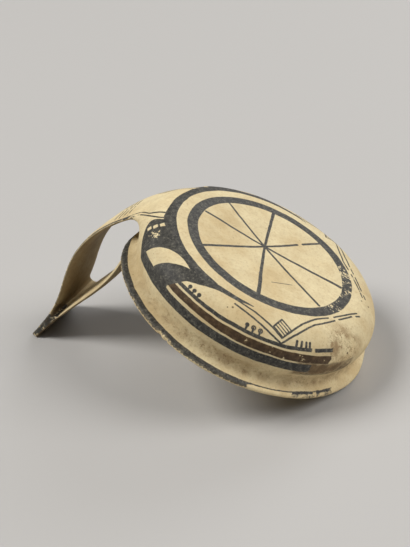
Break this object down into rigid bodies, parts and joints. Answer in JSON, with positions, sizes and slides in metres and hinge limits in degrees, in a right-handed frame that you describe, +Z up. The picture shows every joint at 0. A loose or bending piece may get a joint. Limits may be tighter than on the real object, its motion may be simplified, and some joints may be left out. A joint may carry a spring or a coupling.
{
  "type": "ancient kyathos dipper cup",
  "caption": "Low hand-built clay dipper cup with a high double-strap handle and painted bands, lying mouth down on its rim and handle tip",
  "frame": {"origin": "centre of the bounding box on the surface that the cup lies on", "axes": "+Z up, handle towards -X, bowl towards +X, Y across the strap"},
  "size_m": [0.1934, 0.138, 0.085],
  "materials": {
    "painted_clay": "fired buff clay with worn dark paint"
  },
  "bodies": {
    "root": {"cup_and_handle": "painted_clay"}
  },
  "joints": []
}
